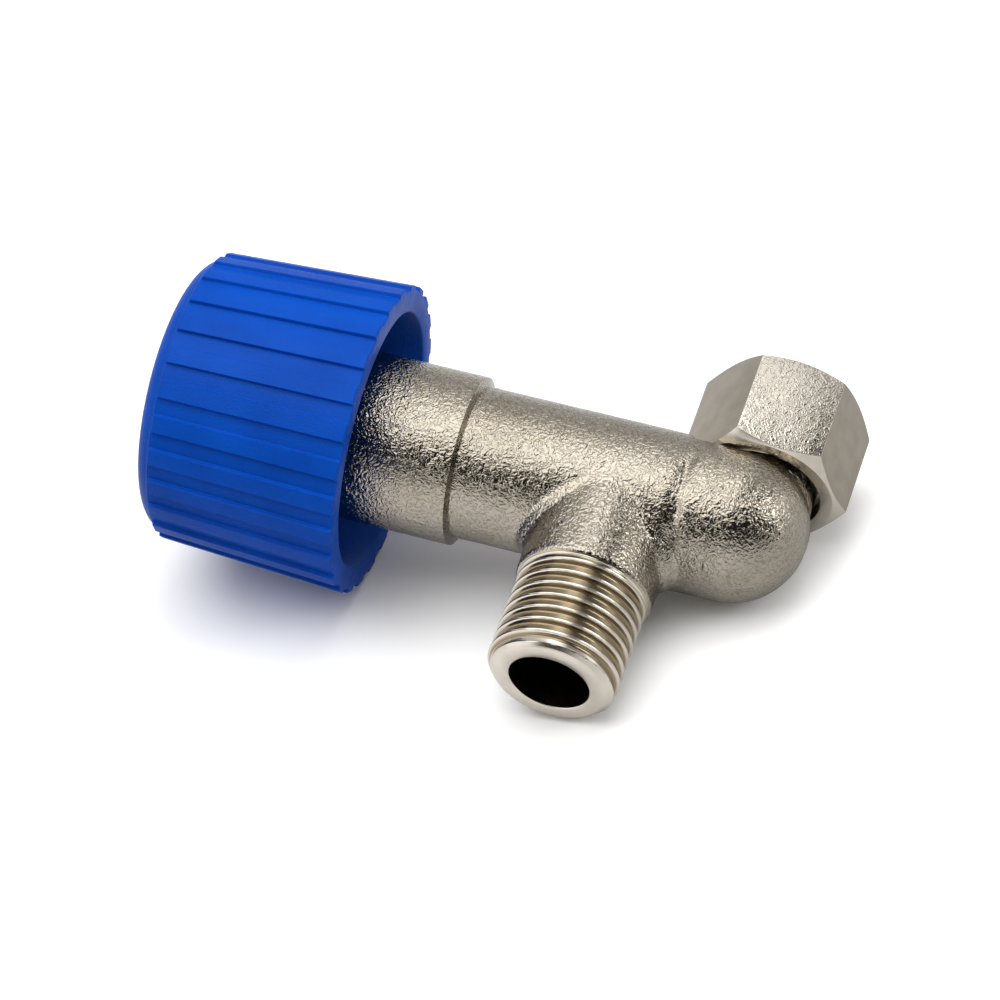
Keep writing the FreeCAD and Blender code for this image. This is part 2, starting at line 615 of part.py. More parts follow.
def knob():
    body = new_body("knob", turn="knob_turned", about=(1, 0, 0))
    turned(body, "knob_form", [
        ("-knob_rim", "0"),
        ("-knob_rim", "knob_radius"),
        (KNOB_END, skirt("knob_radius", KNOB_END)),
        (KNOB_END, "0"),
    ])

    def closed_rim(edge):
        """The outer edge of the closed end."""
        box = edge.BoundBox
        return box.XLength < TOUCH and abs(box.XMin - number(KNOB_END)) < TOUCH

    rounded(body, "knob_round", "knob_shoulder", closed_rim)

    sunk = "knob_wall / 2"
    bar = turned(body, "bar", [
        ("-knob_rim", f"knob_radius - {sunk}"),
        ("-knob_rim", "knob_radius + bar_height"),
        (BAR_END, skirt("knob_radius", BAR_END) + " + bar_height"),
        (BAR_END, skirt("knob_radius", BAR_END) + f" - {sunk}"),
    ], angle="360 * bar_share / bar_count")
    repeated(body, bar, "bar_count", "bars")

    turned(body, "knob_cup", [
        ("-knob_rim", "0"),
        ("-knob_rim", "knob_radius - knob_wall"),
        (CUP_FLOOR, skirt("knob_radius - knob_wall", CUP_FLOOR)),
        (CUP_FLOOR, "hub_radius"),
        (HUB_MOUTH, "hub_radius"),
        (HUB_MOUTH, "0"),
    ], cut=True)
    web_end = f"({CUP_FLOOR} + web_height)"
    web_outline = polygon(body, "web_outline", [
        (f"{CUP_FLOOR} - knob_end_wall / 2", "hub_radius - fit_gap"),
        (f"{CUP_FLOOR} - knob_end_wall / 2", f"{skirt('knob_radius', CUP_FLOOR)} - {sunk}"),
        (web_end, f"{skirt('knob_radius', CUP_FLOOR)} - {sunk}"),
        (web_end, "hub_radius - fit_gap"),
    ])
    web = body.newObject("PartDesign::Pad", "web")
    web.Profile = web_outline
    web.Midplane = True
    bind(web, "Length", "web_thickness")
    web_outline.Visibility = False
    document.recompute()
    repeated(body, web, "web_count", "webs")
    turned(body, "knob_fixing_bore", [
        (HUB_MOUTH, "0"),
        (HUB_MOUTH, "bush_radius"),
        (BUSH_FLOOR, "bush_radius"),
        (BUSH_FLOOR, "screw_clearance"),
        (WELL_FLOOR, "screw_clearance"),
        (WELL_FLOOR, "well_radius"),
        (CAP_SEAT, "well_radius"),
        (CAP_SEAT, "cap_radius + fit_gap"),
        (KNOB_END, "cap_radius + fit_gap"),
        (KNOB_END, "0"),
    ], cut=True)

    bush = ring("knob_insert", HUB_MOUTH, BUSH_FLOOR, "spline_radius + fit_gap", "bush_radius - fit_gap")
    tooth = turned(bush, "bush_tooth", [
        (HUB_MOUTH, "spline_radius - spline_depth + fit_gap"),
        (HUB_MOUTH, "(spline_radius + bush_radius) / 2"),
        (BUSH_FLOOR, "(spline_radius + bush_radius) / 2"),
        (BUSH_FLOOR, "spline_radius - spline_depth + fit_gap"),
    ], angle="180 / spline_teeth - 2 * fit_gap / spline_radius * 180 / pi")
    repeated(bush, tooth, "spline_teeth", "bush_spline")

    washer_end = f"({WELL_FLOOR} - screw_washer_thickness)"
    ring("knob_screw_washer", WELL_FLOOR, washer_end, "screw_radius_shank + fit_gap", "screw_washer")
    head_end = f"({washer_end} - screw_head_height)"
    screw = new_body("knob_screw")
    turned(screw, "knob_screw_form", [
        (head_end, "0"),
        (head_end, "screw_head - turned_chamfer"),
        (f"{head_end} + turned_chamfer", "screw_head"),
        (washer_end, "screw_head"),
        (washer_end, "screw_radius_shank"),
        (f"{washer_end} + screw_shank", "screw_radius_shank"),
        (f"{washer_end} + screw_shank", "0"),
    ])
    hexagon(screw, "screw_socket_cut", "screw_socket", head_end, "screw_socket_depth", "YZ_Plane", cut=True)
    cap = new_body("knob_cap")
    turned(cap, "knob_cap_form", [
        (f"{CAP_SEAT} - cap_thickness", "0"),
        (f"{CAP_SEAT} - cap_thickness", "cap_radius - cap_proud"),
        (f"{CAP_SEAT} - cap_thickness + cap_proud", "cap_radius"),
        (CAP_SEAT, "cap_radius"),
        (CAP_SEAT, "well_radius - fit_gap"),
        (f"{CAP_SEAT} + cap_skirt", "well_radius - fit_gap"),
        (f"{CAP_SEAT} + cap_skirt", "well_radius - cap_skirt_wall"),
        (CAP_SEAT, "well_radius - cap_skirt_wall"),
        (CAP_SEAT, "0"),
    ])


def swivel_nut():
    place = {"x": "inlet_offset"}
    body = new_body("swivel_nut", turn="nut_turn", **place)
    hexagon(body, "nut_hexagon", "nut_flats", NUT_FACE, "nut_length", "XZ_Plane")
    chamfered(body, "nut_chamfer_near", "nut_flats", NUT_FACE, "+", about="Y")
    chamfered(body, "nut_chamfer_far", "nut_flats", NUT_END, "-", about="Y")
    turned(body, "nut_bores", [
        (NUT_FACE, "0"),
        (NUT_FACE, "nut_cup_radius"),
        ("inlet_shoulder", "nut_cup_radius"),
        ("inlet_shoulder", "spigot_radius + nut_lip_gap"),
        (LIP_END, "spigot_radius + nut_lip_gap"),
        (LIP_END, "nut_pocket"),
        (WASHER_END, "nut_pocket"),
        (f"{WASHER_END} + nut_pocket - nut_thread", "nut_thread"),
        (f"{NUT_END} - nut_thread_mouth", "nut_thread"),
        (NUT_END, "nut_thread + nut_thread_mouth"),
        (NUT_END, "0"),
    ], about="Y", cut=True)

    wire = document.addObject("Part::Torus", "nut_retaining_ring")
    wire.Label = "nut_retaining_ring"
    wire.Placement.Rotation = FreeCAD.Rotation(FreeCAD.Vector(1, 0, 0), -90)
    bind(wire, "Radius1", "wire_groove + fit_gap + wire_radius")
    bind(wire, "Radius2", "wire_radius")
    bind(wire, "Angle3", "360 - ring_opening")
    bind(wire, "Placement.Base.x", "inlet_offset")
    bind(wire, "Placement.Base.y", f"outlet_reach + {WIRE_NEAR} + wire_radius + wire_play / 2")
    bodies.append(wire)
    ring("inlet_washer", SPIGOT_END, WASHER_END, "inlet_washer_hole", "inlet_washer_radius", about="Y",
         **place)


valve_body()
bonnet()
spindle()
jumper()
knob()
swivel_nut()
document.recompute()

for item in document.Objects:
    if "Invalid" in item.State or "Error" in item.State:
        raise RuntimeError(f"{item.Label} failed: {item.State}")
os.makedirs("parts", exist_ok=True)
for body in bodies:
    shape = body.Shape
    if shape.isNull() or not shape.isValid() or len(shape.Solids) != 1:
        raise RuntimeError(f"{body.Label} is not one valid solid")
    shape.exportStep(f"parts/{body.Label}.step")
    box = shape.BoundBox
    print(f"{body.Label:20s} {shape.Volume:10.1f} mm3  X {box.XMin:7.2f} {box.XMax:7.2f}"
          f"  Y {box.YMin:7.2f} {box.YMax:7.2f}  Z {box.ZMin:7.2f} {box.ZMax:7.2f}")
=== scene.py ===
"""Boiler filling valve: forged and turned brass under nickel plate, with a moulded blue knob."""

import math

import bmesh
import bpy
import numpy as np
from mathutils import Matrix, Vector, noise


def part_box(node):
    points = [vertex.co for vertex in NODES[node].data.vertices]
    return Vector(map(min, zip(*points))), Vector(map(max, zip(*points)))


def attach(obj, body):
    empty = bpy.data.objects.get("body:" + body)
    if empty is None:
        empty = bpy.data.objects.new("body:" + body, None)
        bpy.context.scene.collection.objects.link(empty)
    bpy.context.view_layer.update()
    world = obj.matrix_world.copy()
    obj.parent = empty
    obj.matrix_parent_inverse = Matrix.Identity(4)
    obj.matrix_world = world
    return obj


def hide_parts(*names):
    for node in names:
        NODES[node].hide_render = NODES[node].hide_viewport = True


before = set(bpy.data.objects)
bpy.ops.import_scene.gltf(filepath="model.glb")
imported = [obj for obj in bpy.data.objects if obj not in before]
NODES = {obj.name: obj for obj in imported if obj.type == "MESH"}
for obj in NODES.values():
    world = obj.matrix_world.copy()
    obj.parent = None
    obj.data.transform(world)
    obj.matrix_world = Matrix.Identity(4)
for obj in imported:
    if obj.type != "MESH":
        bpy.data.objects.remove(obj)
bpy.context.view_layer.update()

MM = 0.001


def middle(node):
    low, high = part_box(node)
    return (low + high) / 2


# Sizes in metres, from the frame
BODY_LOW, BODY_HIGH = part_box("valve_body")
KNOB_LOW, KNOB_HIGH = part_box("knob")
NUT_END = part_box("swivel_nut")[1].y
REACH = middle("knob").y
INLET = middle("swivel_nut").x
BOSS_RADIUS = BODY_HIGH.z
BODY_END = BODY_LOW.x
SPIGOT_END = BODY_HIGH.y

# Sizes in metres that the frame doesn't give by itself
BARREL_RADIUS = 12.4 * MM
STEP = -24.8 * MM
STEP_LENGTH = 0.5 * MM
NECK_RADIUS = 11.4 * MM
NECK_FILLET = 2.2 * MM
BARREL_END = 18.7 * MM
ELBOW_CREASE = 11.4 * MM
BONNET_BORE = 10.3 * MM
BONNET_BORE_DEPTH = 17.5 * MM
CHAMBER_RADIUS = 9.0 * MM
# The chamber is narrower round the rubber disc, where the flat milled for the nut comes close
DISC_POCKET = 6.6 * MM
DISC_POCKET_RADIUS = 7.4 * MM
SEAT_REACH = 9.0 * MM
SEAT_BORE = 5.2 * MM
SEAT_WALL = 1.6 * MM
SEAT_HEIGHT = 1.5 * MM
BOSS_CHAMFER = 0.8 * MM
OUTLET_RADIUS = 10.4775 * MM
OUTLET_THREADED = 17.5 * MM
OUTLET_NOSE = 1.5 * MM
OUTLET_BORE = 6.5 * MM
OUTLET_BORE_DEPTH = 20.0 * MM
OUTLET_PORT = 5.5 * MM
INLET_BORE = 5.5 * MM
INLET_BOSS = 8.7 * MM
INLET_ROOT = 9.2 * MM
INLET_SHOULDER = REACH + 11.0 * MM
SPOT_FACE = REACH + 7.6 * MM
SPOT_RADIUS = 14.6 * MM
SPIGOT_RADIUS = 7.8 * MM
WIRE_GROOVE = (REACH + 14.2 * MM, REACH + 16.0 * MM, 7.0 * MM)
INLET_DRILL = 3.0 * MM
NUT_BORED = 11.0 * MM
NUT_THREAD = 9.316 * MM
NUT_PITCH = 1.814 * MM
NUT_TURNED = math.radians(10.5)
NUT_EDGE = 0.18 * MM
KNOB_RIM = KNOB_HIGH.x
KNOB_END = KNOB_LOW.x
KNOB_RADIUS = 24.7 * MM
KNOB_DRAFT = math.tan(math.radians(3.0))
KNOB_WALL = 3.7 * MM
KNOB_SHOULDER = 4.4 * MM
KNOB_TURNED = math.radians(1.5)
BAR_COUNT = 26
BAR_SHARE = 0.5
BAR_HEIGHT = 0.7 * MM
BAR_END = KNOB_RIM - 31.3 * MM
CUP_FLOOR = KNOB_END + 3.0 * MM
HUB_RADIUS = 8.0 * MM
HUB_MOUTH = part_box("knob_insert")[1].x
BUSH_RADIUS = 6.0 * MM
BUSH_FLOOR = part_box("knob_insert")[0].x
SCREW_CLEARANCE = 2.3 * MM
WELL_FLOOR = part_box("knob_screw_washer")[1].x
WELL_RADIUS = 5.6 * MM
CAP_SEAT = KNOB_END + 1.2 * MM
CAP_RADIUS = 16.65 * MM
WEB_COUNT = 6
WEB_THICKNESS = 1.6 * MM
WEB_HEIGHT = 5.0 * MM
# The forging's skin: how fine its mesh is, and how wide and high its small pillows are
SKIN_MESH = 0.28 * MM
SKIN_PILLOW = 0.9 * MM
SKIN_HEIGHT = 0.06 * MM


# Placing things

def direction(*parts):
    return Vector(parts).normalized()


# The photograph's camera: where it stands, and the image's right and down
CAMERA_PLACE = Vector((113.8, -342.26, 536.8)) * MM
IMAGE_RIGHT = direction(0.9524, 0.3040, -0.0220)
IMAGE_DOWN = direction(0.2324, -0.7708, -0.5932)
IMAGE_UP = -IMAGE_DOWN
TO_CAMERA = IMAGE_RIGHT.cross(IMAGE_UP)
LENS = 151.2
SENSOR = 36.0
# The valve lies on its knob, its elbow and its outlet, so the table's normal leans a little in the frame
TABLE_UP = direction(-0.204, 0.177, 0.963)


def axes_matrix(x, y, z, place):
    matrix = Matrix((x, y, z)).transposed().to_4x4()
    matrix.translation = place
    return matrix


def camera():
    data = bpy.data.cameras.new("camera")
    data.lens = LENS
    data.sensor_width = SENSOR
    data.clip_start = 0.05
    made = bpy.data.objects.new("camera", data)
    made.matrix_world = axes_matrix(IMAGE_RIGHT, IMAGE_UP, TO_CAMERA, CAMERA_PLACE)
    bpy.context.collection.objects.link(made)
    bpy.context.scene.camera = made


# Materials

def linear(text):
    """An sRGB hex colour as linear red, green, blue and alpha."""
    values = [int(text[index:index + 2], 16) / 255 for index in (1, 3, 5)]
    return [v / 12.92 if v <= 0.04045 else ((v + 0.055) / 1.055) ** 2.4 for v in values] + [1.0]


def add(tree, kind, inputs=None, **settings):
    """Add a node: settings are its own properties, inputs maps its sockets to values or other sockets."""
    node = tree.nodes.new(kind)
    for name, value in settings.items():
        setattr(node, name, value)
    for socket, value in (inputs or {}).items():
        if isinstance(value, bpy.types.NodeSocket):
            tree.links.new(value, node.inputs[socket])
        else:
            node.inputs[socket].default_value = value
    return node


def finish(name, **sockets):
    """A new material whose surface has the given plain values, with its tree and its surface node."""
    material = bpy.data.materials.new(name)
    material.use_nodes = True
    tree = material.node_tree
    tree.nodes.clear()
    surface = add(tree, "ShaderNodeBsdfPrincipled", {key.replace("_", " "): v for key, v in sockets.items()})
    add(tree, "ShaderNodeOutputMaterial", {"Surface": surface.outputs[0]})
    return material, tree, surface


def feed(tree, surface, **links):
    for socket, source in links.items():
        tree.links.new(source, surface.inputs[socket.replace("_", " ")])


def ramp(tree, factor, *stops):
    """A colour ramp through (place, hex colour) stops."""
    node = add(tree, "ShaderNodeValToRGB", {"Fac": factor})
    elements = node.color_ramp.elements
    while len(elements) < len(stops):
        elements.new(0.5)
    for element, (place, colour) in zip(elements, stops):
        element.position = place
        element.color = linear(colour)
    return node.outputs["Color"]


def here(tree):
    """The piece's own coordinates, in metres."""
    return add(tree, "ShaderNodeTexCoord").outputs["Object"]


def creased(tree, place, size, wander):
    """A height from 0 at thin winding creases to about 0.3 on the small pillows between them."""
    drift = add(tree, "ShaderNodeTexNoise", {"Vector": place, "Scale": 1 / (2 * size), "Detail": 1.0})
    shift = add(tree, "ShaderNodeVectorMath", {0: drift.outputs["Color"], "Scale": wander * size},
                operation="SCALE")
    moved = add(tree, "ShaderNodeVectorMath", {0: place, 1: shift.outputs[0]}, operation="ADD")
    waves = add(tree, "ShaderNodeTexNoise", {"Vector": moved.outputs[0], "Scale": 1 / size, "Detail": 1.0})
    level = add(tree, "ShaderNodeMath", {0: waves.outputs["Fac"], 1: 0.5}, operation="SUBTRACT")
    return add(tree, "ShaderNodeMath", {0: level.outputs[0]}, operation="ABSOLUTE").outputs[0]


def forged_nickel():
    """Hot-forged brass, shot-blasted and nickel plated: a warm grey metal whose skin is all small smooth
    pillows with thin creases between them, painted darker as shade, so that every reflection breaks into
    short worm-like lights and darks."""
    pillow = 0.8 * MM
    material, tree, surface = finish("forged_brass_nickel_plated", Metallic=1.0, Roughness=0.13)
    place = here(tree)
    coarse = creased(tree, place, pillow, 1.5)
    fine = creased(tree, place, 0.45 * pillow, 1.5)
    height = add(tree, "ShaderNodeMath", {0: fine, 1: 0.3, 2: coarse}, operation="MULTIPLY_ADD").outputs[0]
    bump = add(tree, "ShaderNodeBump", {"Height": height, "Strength": 1.0, "Distance": 0.27 * MM})
    tone = add(tree, "ShaderNodeTexNoise", {"Vector": place, "Scale": 1 / (9 * MM), "Detail": 3.0})
    # The creases are painted darker than the pillows: painted shade.
    shade = add(tree, "ShaderNodeMapRange", {"Value": height, "From Max": 0.09, "To Min": 0.5})
    colour = add(tree, "ShaderNodeVectorMath", {
        0: ramp(tree, tone.outputs["Fac"], (0.3, "#A59D8E"), (0.7, "#B2AA9D")),
        "Scale": shade.outputs[0]}, operation="SCALE")
    feed(tree, surface, Base_Color=colour.outputs[0], Normal=bump.outputs[0])
    return material


def turned_nickel():
    """Turned brass under nickel plate: a smooth warm grey with a very fine grain."""
    material, tree, surface = finish("turned_brass_nickel_plated", Metallic=1.0, Roughness=0.22)
    place = here(tree)
    tone = add(tree, "ShaderNodeTexNoise", {"Vector": place, "Scale": 1 / (3 * MM), "Detail": 4.0})
    grain = add(tree, "ShaderNodeTexNoise", {"Vector": place, "Scale": 1 / (0.2 * MM), "Detail": 2.0})
    bump = add(tree, "ShaderNodeBump", {"Height": grain.outputs["Fac"], "Strength": 0.15,
                                        "Distance": 0.02 * MM})
    feed(tree, surface, Base_Color=ramp(tree, tone.outputs["Fac"], (0.3, "#CFC7BA"), (0.7, "#DCD4C8")),
         Normal=bump.outputs[0])
    return material


def thread_nickel():
    """Cut thread under nickel plate: bright crests, and roots painted darker and browner as shade."""
    material, tree, surface = finish("cut_thread_nickel_plated", Metallic=1.0)
    place = here(tree)
    across = add(tree, "ShaderNodeVectorMath", {0: place, 1: (1.0, 0.0, 1.0)}, operation="MULTIPLY")
    radius = add(tree, "ShaderNodeVectorMath", {0: across.outputs[0]}, operation="LENGTH")
    depth = add(tree, "ShaderNodeMapRange", {"Value": radius.outputs["Value"],
                                             "From Min": OUTLET_RADIUS - 1.0 * MM,
                                             "From Max": OUTLET_RADIUS - 0.1 * MM})
    grain = add(tree, "ShaderNodeTexNoise", {"Vector": place, "Scale": 1 / (0.25 * MM), "Detail": 2.0})
    bump = add(tree, "ShaderNodeBump", {"Height": grain.outputs["Fac"], "Strength": 0.12,
                                        "Distance": 0.02 * MM})
    rough = add(tree, "ShaderNodeMapRange", {"Value": depth.outputs[0], "To Min": 0.24, "To Max": 0.14})
    # The colour falls from the crests to darker, browner roots: painted shade.
    feed(tree, surface, Normal=bump.outputs[0], Roughness=rough.outputs[0],
         Base_Color=ramp(tree, depth.outputs[0], (0.0, "#84765F"), (0.5, "#95876F"), (0.9, "#DAD2C6")))
    return material


def pressed_nickel_painted_highlight():
    """The nut's two pressed flats under nickel plate: full of short shallow strokes, and lighter than the
    milled flats as a painted highlight.
    """
    stroke = 0.6 * MM
    material, tree, surface = finish("pressed_flat_nickel_painted_highlight", Metallic=1.0, Roughness=0.16)
    place = here(tree)
    strokes = creased(tree, place, stroke, 2.5)
    bump = add(tree, "ShaderNodeBump", {"Height": strokes, "Strength": 1.0, "Distance": 0.13 * MM})
    tone = add(tree, "ShaderNodeTexNoise", {"Vector": place, "Scale": 1 / (4 * MM), "Detail": 3.0})
    # This colour is lighter than the milled flats': a painted highlight.
    feed(tree, surface, Base_Color=ramp(tree, tone.outputs["Fac"], (0.3, "#BBB4A8"), (0.7, "#C6BFB3")),
         Normal=bump.outputs[0])
    return material


def milled_nickel():
    """Milled flats under nickel plate: an even satin grey with a fine grain."""
    material, tree, surface = finish("milled_flat_nickel_plated", Metallic=1.0, Roughness=0.34)
    place = here(tree)
    grain = add(tree, "ShaderNodeTexNoise", {"Vector": place, "Scale": 1 / (0.15 * MM), "Detail": 3.0})
    bump = add(tree, "ShaderNodeBump", {"Height": grain.outputs["Fac"], "Strength": 0.4,
                                        "Distance": 0.02 * MM})
    tone = add(tree, "ShaderNodeTexNoise", {"Vector": place, "Scale": 1 / (3 * MM), "Detail": 4.0})
    feed(tree, surface, Base_Color=ramp(tree, tone.outputs["Fac"], (0.3, "#9A9284"), (0.7, "#A79F92")),
         Normal=bump.outputs[0])
    return material


def moulded_plastic():
    """Injection-moulded ABS with a fine spark-eroded grain: an even deep blue, and a faint sheen that
    draws the edges of the bars."""
    material, tree, surface = finish("moulded_abs_blue", Roughness=0.4, IOR=1.5, Specular_IOR_Level=0.07)
    place = here(tree)
    grain = add(tree, "ShaderNodeTexNoise", {"Vector": place, "Scale": 1 / (0.32 * MM), "Detail": 2.0,
                                             "Roughness": 0.6})
    bump = add(tree, "ShaderNodeBump", {"Height": grain.outputs["Fac"], "Strength": 1.0,
                                        "Distance": 0.09 * MM})
    tone = add(tree, "ShaderNodeTexNoise", {"Vector": place, "Scale": 1 / (12 * MM), "Detail": 2.0})
    feed(tree, surface, Base_Color=ramp(tree, tone.outputs["Fac"], (0.35, "#0242A4"), (0.65, "#034AB2")),
         Normal=bump.outputs[0])
    return material


def bore_painted_shade():
    """The waterway's faces, painted nearly black as shade, in an uneven tone."""
    material, tree, surface = finish("waterway_painted_shade", Metallic=1.0, Roughness=0.4)
    place = here(tree)
    shade_tone = add(tree, "ShaderNodeTexNoise", {"Vector": place, "Scale": 1 / (1.5 * MM), "Detail": 4.0})
    # Nearly black: painted shade.
    feed(tree, surface, Base_Color=ramp(tree, shade_tone.outputs["Fac"], (0.3, "#1C1813"), (0.7, "#3A3226")))
    return material


def turned_brass():
    """Bare turned brass: yellow metal with fine tool rings."""
    material, tree, surface = finish("turned_brass_bare", Metallic=1.0, Roughness=0.27)
    place = here(tree)
    rings = add(tree, "ShaderNodeTexWave", {"Vector": place, "Scale": 1 / (2.4 * MM), "Distortion": 0.6,
                                            "Detail": 2.0}, bands_direction="X")
    bump = add(tree, "ShaderNodeBump", {"Height": rings.outputs["Fac"], "Strength": 0.15,
                                        "Distance": 0.02 * MM})
    tone = add(tree, "ShaderNodeTexNoise", {"Vector": place, "Scale": 1 / (3 * MM), "Detail": 3.0})
    feed(tree, surface, Base_Color=ramp(tree, tone.outputs["Fac"], (0.3, "#B08D4E"), (0.7, "#CBA866")),
         Normal=bump.outputs[0])
    return material


def moulded_rubber():
    """Moulded nitrile rubber: matt black with a dusty bloom."""
    material, tree, surface = finish("moulded_rubber_black", Roughness=0.65, IOR=1.52)
    place = here(tree)
    bloom = add(tree, "ShaderNodeTexNoise", {"Vector": place, "Scale": 1 / (1.5 * MM), "Detail": 4.0})
    feed(tree, surface, Base_Color=ramp(tree, bloom.outputs["Fac"], (0.35, "#161616"), (0.75, "#2C2B2A")))
    return material


def pressed_fibre():
    """Pressed fibre sheet: matt green-grey with short flecks."""
    material, tree, surface = finish("pressed_fibre_sheet", Roughness=0.8, IOR=1.5)
    place = here(tree)
    flecks = add(tree, "ShaderNodeTexNoise", {"Vector": place, "Scale": 1 / (0.35 * MM), "Detail": 3.0})
    bump = add(tree, "ShaderNodeBump", {"Height": flecks.outputs["Fac"], "Strength": 0.4,
                                        "Distance": 0.03 * MM})
    feed(tree, surface, Base_Color=ramp(tree, flecks.outputs["Fac"], (0.35, "#2E4A42"), (0.7, "#5A7468")),
         Normal=bump.outputs[0])
    return material


def plated_steel(name, light, dark, roughness):
    """Steel with a thin bright plate or an oiled skin, in a slightly uneven tone."""
    material, tree, surface = finish(name, Metallic=1.0, Roughness=roughness)
    place = here(tree)
    tone = add(tree, "ShaderNodeTexNoise", {"Vector": place, "Scale": 1 / (1.2 * MM), "Detail": 4.0})
    feed(tree, surface, Base_Color=ramp(tree, tone.outputs["Fac"], (0.3, dark), (0.7, light)))
    return material


# Meshes

def mesh_object(name, mesh, *materials):
    made = bpy.data.objects.new(name, mesh)
    for material in materials:
        mesh.materials.append(material)
    bpy.context.collection.objects.link(made)
    return made


def rounded_shading(mesh, degrees):
    """Shade smooth, but keep edges sharper than the angle crisp."""
    work = bmesh.new()
    work.from_mesh(mesh)
    limit = math.radians(degrees)
    for face in work.faces:
        face.smooth = True
    for edge in work.edges:
        edge.smooth = len(edge.link_faces) == 2 and edge.calc_face_angle(0.0) < limit
    work.to_mesh(mesh)
    work.free()


def paint(mesh, *zones):
    """Give each face the material slot of the first zone whose test its centre and normal pass."""
    for face in mesh.polygons:
        for slot, test in zones:
            if test(face.center, face.normal):
                face.material_index = slot
                break


def turned(name, outline, about, place, steps=128, ripple=None):
    """A closed solid turned from a loop of (along, radius) points in metres about the X or the Y axis.

    place is the axis's other two coordinates, and ripple may change the radii by place and angle."""
    along, radius = (np.array(column, dtype=float)[:, None] for column in zip(*outline))
    angle = np.arange(steps)[None, :] * (2 * math.pi / steps)
    if ripple:
        radius = ripple(along, radius, angle)
    u = radius * np.cos(angle)
    v = radius * np.sin(angle)
    along = along + 0 * angle
    if about == "X":
        points = np.stack([along, place[0] + u, place[1] + v], axis=-1)
    else:
        points = np.stack([place[0] + v, along, place[1] + u], axis=-1)
    return loop_mesh(name, points)


def loop_mesh(name, points):
    """A closed mesh through a grid of points that closes on itself both ways."""
    rows, steps = points.shape[:2]
    row, column = np.meshgrid(np.arange(rows), np.arange(steps), indexing="ij")
    next_row = (row + 1) % rows
    next_column = (column + 1) % steps
    faces = np.stack([row * steps + column, row * steps + next_column,
                      next_row * steps + next_column, next_row * steps + column], axis=-1)
    mesh = bpy.data.meshes.new(name)
    mesh.from_pydata(points.reshape(-1, 3).tolist(), [], faces.reshape(-1, 4).tolist())
    work = bmesh.new()
    work.from_mesh(mesh)
    bmesh.ops.remove_doubles(work, verts=work.verts, dist=1e-7)
    bmesh.ops.recalc_face_normals(work, faces=work.faces)
    work.to_mesh(mesh)
    work.free()
    return mesh


def evaluated(made):
    """The object's mesh with its modifiers applied, as a new mesh."""
    graph = bpy.context.evaluated_depsgraph_get()
    return bpy.data.meshes.new_from_object(made.evaluated_get(graph), depsgraph=graph)


def apply(made):
    """Turn the object's modifiers into its mesh."""
    made.data = evaluated(made)
    made.modifiers.clear()


def cut(made, *cutters):
    """Cut meshes away from the object; the cut faces keep the cutter's own material."""
    for mesh in cutters:
        tool = bpy.data.objects.new("cutter", mesh)
        bpy.context.collection.objects.link(tool)
        modifier = made.modifiers.new("cut", "BOOLEAN")
        modifier.operation = "DIFFERENCE"
        modifier.solver = "MANIFOLD"
        modifier.object = tool
        apply(made)
        bpy.data.objects.remove(tool)


# The body

BARREL_AXIS = (REACH, 0.0)
INLET_AXIS = (INLET, 0.0)
OUTLET_AXIS = (0.0, 0.0)


def crinkled(mesh, size, height):
    """Push the surface in and out along its normals, as a blasted and plated forging is, and add what the
    dies left: the crease before the elbow, the faint parting line, and the fillet round the outlet's neck."""
    drift_size = 3 * MM
    fold_wander = 0.5 * MM
    fold_depth = 0.5 * MM
    fold_across = ([-2.4 * MM, 0.0, 1.2 * MM], [0.0, 1.0, 0.0])
    fold_round = ([-30.0, 0.0, 55.0, 85.0], [0.0, 1.0, 1.0, 0.0])
    line_width = 0.25 * MM
    line_height = 0.06 * MM
    count = len(mesh.vertices)
    places = np.empty(count * 3)
    normals = np.empty(count * 3)
    mesh.vertices.foreach_get("co", places)
    mesh.vertex_normals.foreach_get("vector", normals)
    places = places.reshape(-1, 3)
    x, y, z = places.T
    waves = np.array([abs(noise.noise(Vector(p))) for p in places / size])
    push = height * (waves - waves.mean())
    drift = np.array([noise.noise(Vector(p)) for p in places / drift_size])
    along = x - ELBOW_CREASE + fold_wander * drift
    angle = np.degrees(np.arctan2(REACH - y, z))
    fold = np.interp(along, *fold_across)
    fold *= np.interp(angle, *fold_round)
    push -= fold_depth * fold ** 1.3
    push += line_height * np.exp(-(z / line_width) ** 2) * np.clip(0.6 + 2 * drift, 0.0, 1.0)
    from_barrel = np.hypot(y - REACH, z)
    from_neck = np.hypot(x, z)
    corner = np.hypot(from_barrel - BARREL_RADIUS, from_neck - NECK_RADIUS)
    half_turn = np.arccos(np.clip(z * z / (from_barrel * from_neck + 1e-12), 0.0, 1.0)) / 2
    reach = NECK_FILLET * np.tan(half_turn) + 1e-9
    fill = NECK_FILLET * (1 / np.cos(half_turn) - 1) * np.clip(1 - corner / reach, 0.0, 1.0) ** 2
    push += np.where(y < REACH, fill, 0.0)
    places += normals.reshape(-1, 3) * push[:, None]
    mesh.vertices.foreach_set("co", places.ravel())
    mesh.update()


def plug(start, end, radius, about, place):
    """A plain cylinder that fills a bore or thickens a wall of the blank."""
    return turned("plug", [(start, 0.0), (start, radius), (end, radius), (end, 0.0)], about, place)


# How far plugs reach past the forging's faces, how far cutters do, and what a wall's faces may be off by
SPARE = 1.5 * MM
BEYOND = 2 * MM
HAIR = 0.1 * MM


